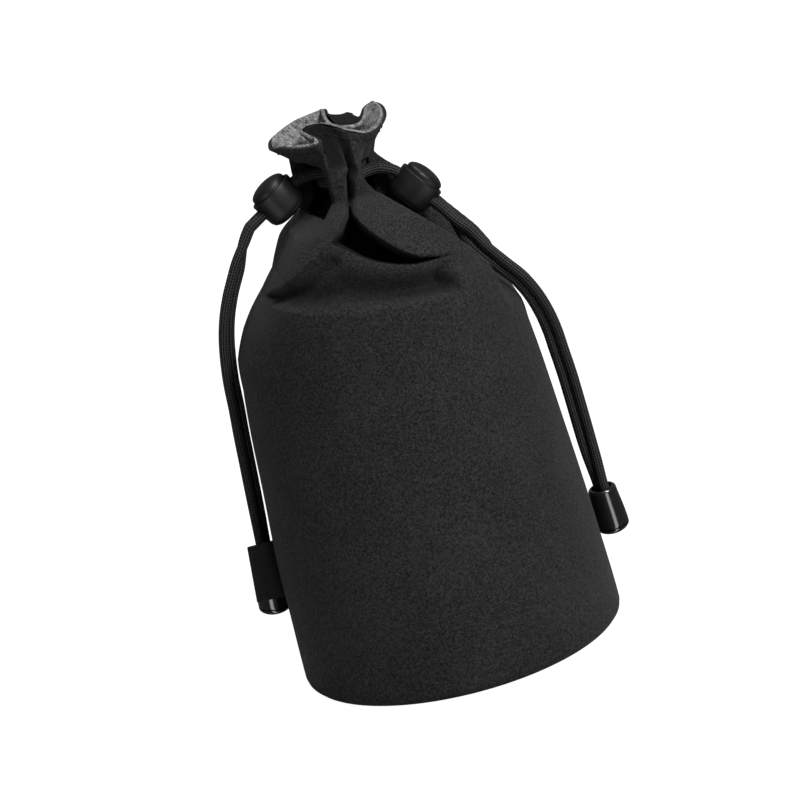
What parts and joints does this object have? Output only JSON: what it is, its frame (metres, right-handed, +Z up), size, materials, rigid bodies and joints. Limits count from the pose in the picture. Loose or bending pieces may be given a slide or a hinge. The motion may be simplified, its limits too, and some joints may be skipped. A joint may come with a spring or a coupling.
{
  "type": "lens pouch",
  "caption": "Round padded drawstring pouch for a camera lens, standing upright with its neck gathered by two cords with sprung cord locks and bell-shaped cord ends.",
  "frame": {"origin": "middle of the round base, on the surface that the pouch stands on", "axes": "+Z up along the pouch, -Y towards the front that the picture shows, -X towards the seam with the side tab, so +X is on the right in the picture"},
  "size_m": [0.1414, 0.117, 0.201],
  "materials": {
    "outer_fabric": "matte black soft-shell with a fine grain",
    "foam": "closed-cell foam sheet",
    "plush": "light grey short plush",
    "tape": "plain black woven tape",
    "braid": "black braided cord",
    "lock_plastic": "satin black moulded plastic",
    "bell_plastic": "glossy black moulded plastic",
    "spring_steel": "drawn spring wire"
  },
  "bodies": {
    "pouch": {"outer_front_panel": "outer_fabric", "outer_back_panel": "outer_fabric", "base_panel": "outer_fabric", "wall_padding": "foam", "base_padding": "foam", "plush_lining": "plush", "base_lining": "plush", "side_tab": "tape", "left_cord_loop": "braid", "left_cord_front": "braid", "left_cord_rear": "braid", "left_cord_knot": "braid", "right_cord_loop": "braid", "right_cord_front": "braid", "right_cord_rear": "braid", "right_cord_knot": "braid", "left_bell": "bell_plastic", "left_bell_plug": "bell_plastic", "right_bell": "bell_plastic", "right_bell_plug": "bell_plastic"},
    "left_lock": {"left_lock_barrel": "lock_plastic", "left_lock_spring": "spring_steel"},
    "left_button": {"left_lock_button": "lock_plastic"},
    "right_lock": {"right_lock_barrel": "lock_plastic", "right_lock_spring": "spring_steel"},
    "right_button": {"right_lock_button": "lock_plastic"}
  },
  "joints": [
    {"name": "left_lock_slide", "type": "slide", "parent": "pouch", "child": "left_lock", "axis": [-0.8576, -0.1392, -0.4951], "range_m": [0, 0.005]},
    {"name": "left_button_press", "type": "slide", "parent": "left_lock", "child": "left_button", "axis": [0.5, 0, -0.866], "range_m": [0, 0.0022], "stiffness_N_per_m": 800, "springref_m": -0.001, "deforming": ["left_lock_spring"]},
    {"name": "right_lock_slide", "type": "slide", "parent": "pouch", "child": "right_lock", "axis": [0.6022, -0.2079, -0.7708], "range_m": [0, 0.005]},
    {"name": "right_button_press", "type": "slide", "parent": "right_lock", "child": "right_button", "axis": [-0.788, 0, -0.6157], "range_m": [0, 0.0022], "stiffness_N_per_m": 800, "springref_m": -0.001, "deforming": ["right_lock_spring"]}
  ]
}
